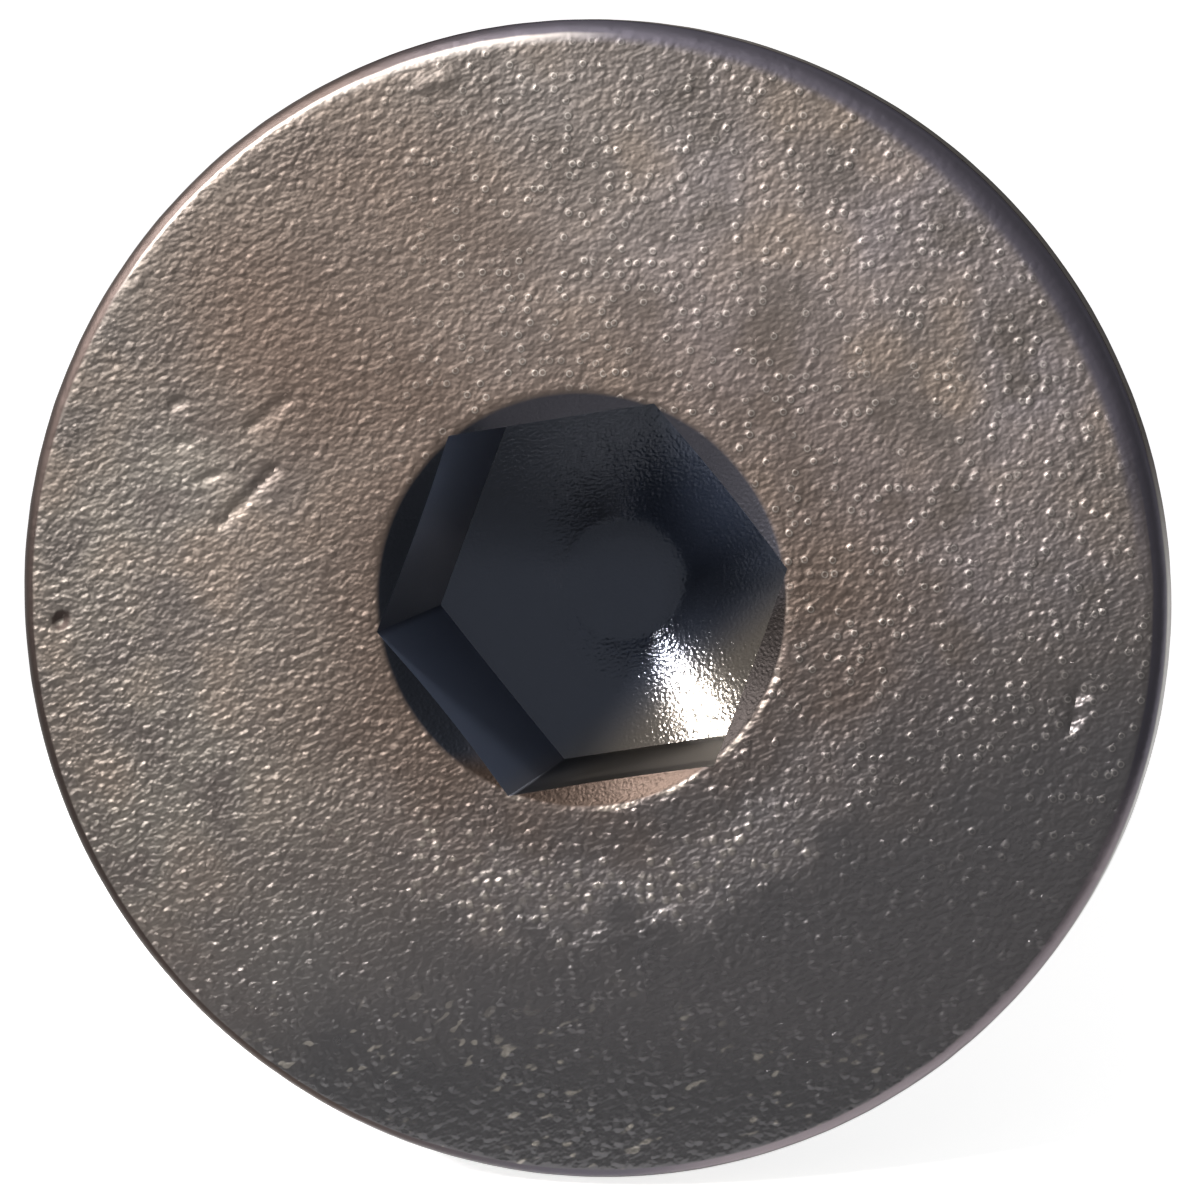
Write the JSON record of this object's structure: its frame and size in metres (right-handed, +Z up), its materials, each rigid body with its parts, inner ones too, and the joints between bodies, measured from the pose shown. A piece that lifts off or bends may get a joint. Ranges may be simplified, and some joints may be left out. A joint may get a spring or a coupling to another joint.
{
  "type": "countersunk socket screw",
  "caption": "Countersunk screw with a hexagon socket in its flat head, a 90 degree seat and a right-hand metric thread up to a short neck; it lies on its side at rest.",
  "frame": {"origin": "on the floor, under the middle of the lying screw", "axes": "+Z up; the screw's axis lies in the YZ plane, with the face of the head towards -Y, leaning back 12.9 degrees, and the tip towards +Y"},
  "size_m": [0.0164, 0.022, 0.0161],
  "materials": {
    "black_steel": "black oxide, fine pebbled grain, brown cast"
  },
  "bodies": {
    "root": {"countersunk_screw": "black_steel"}
  },
  "joints": []
}
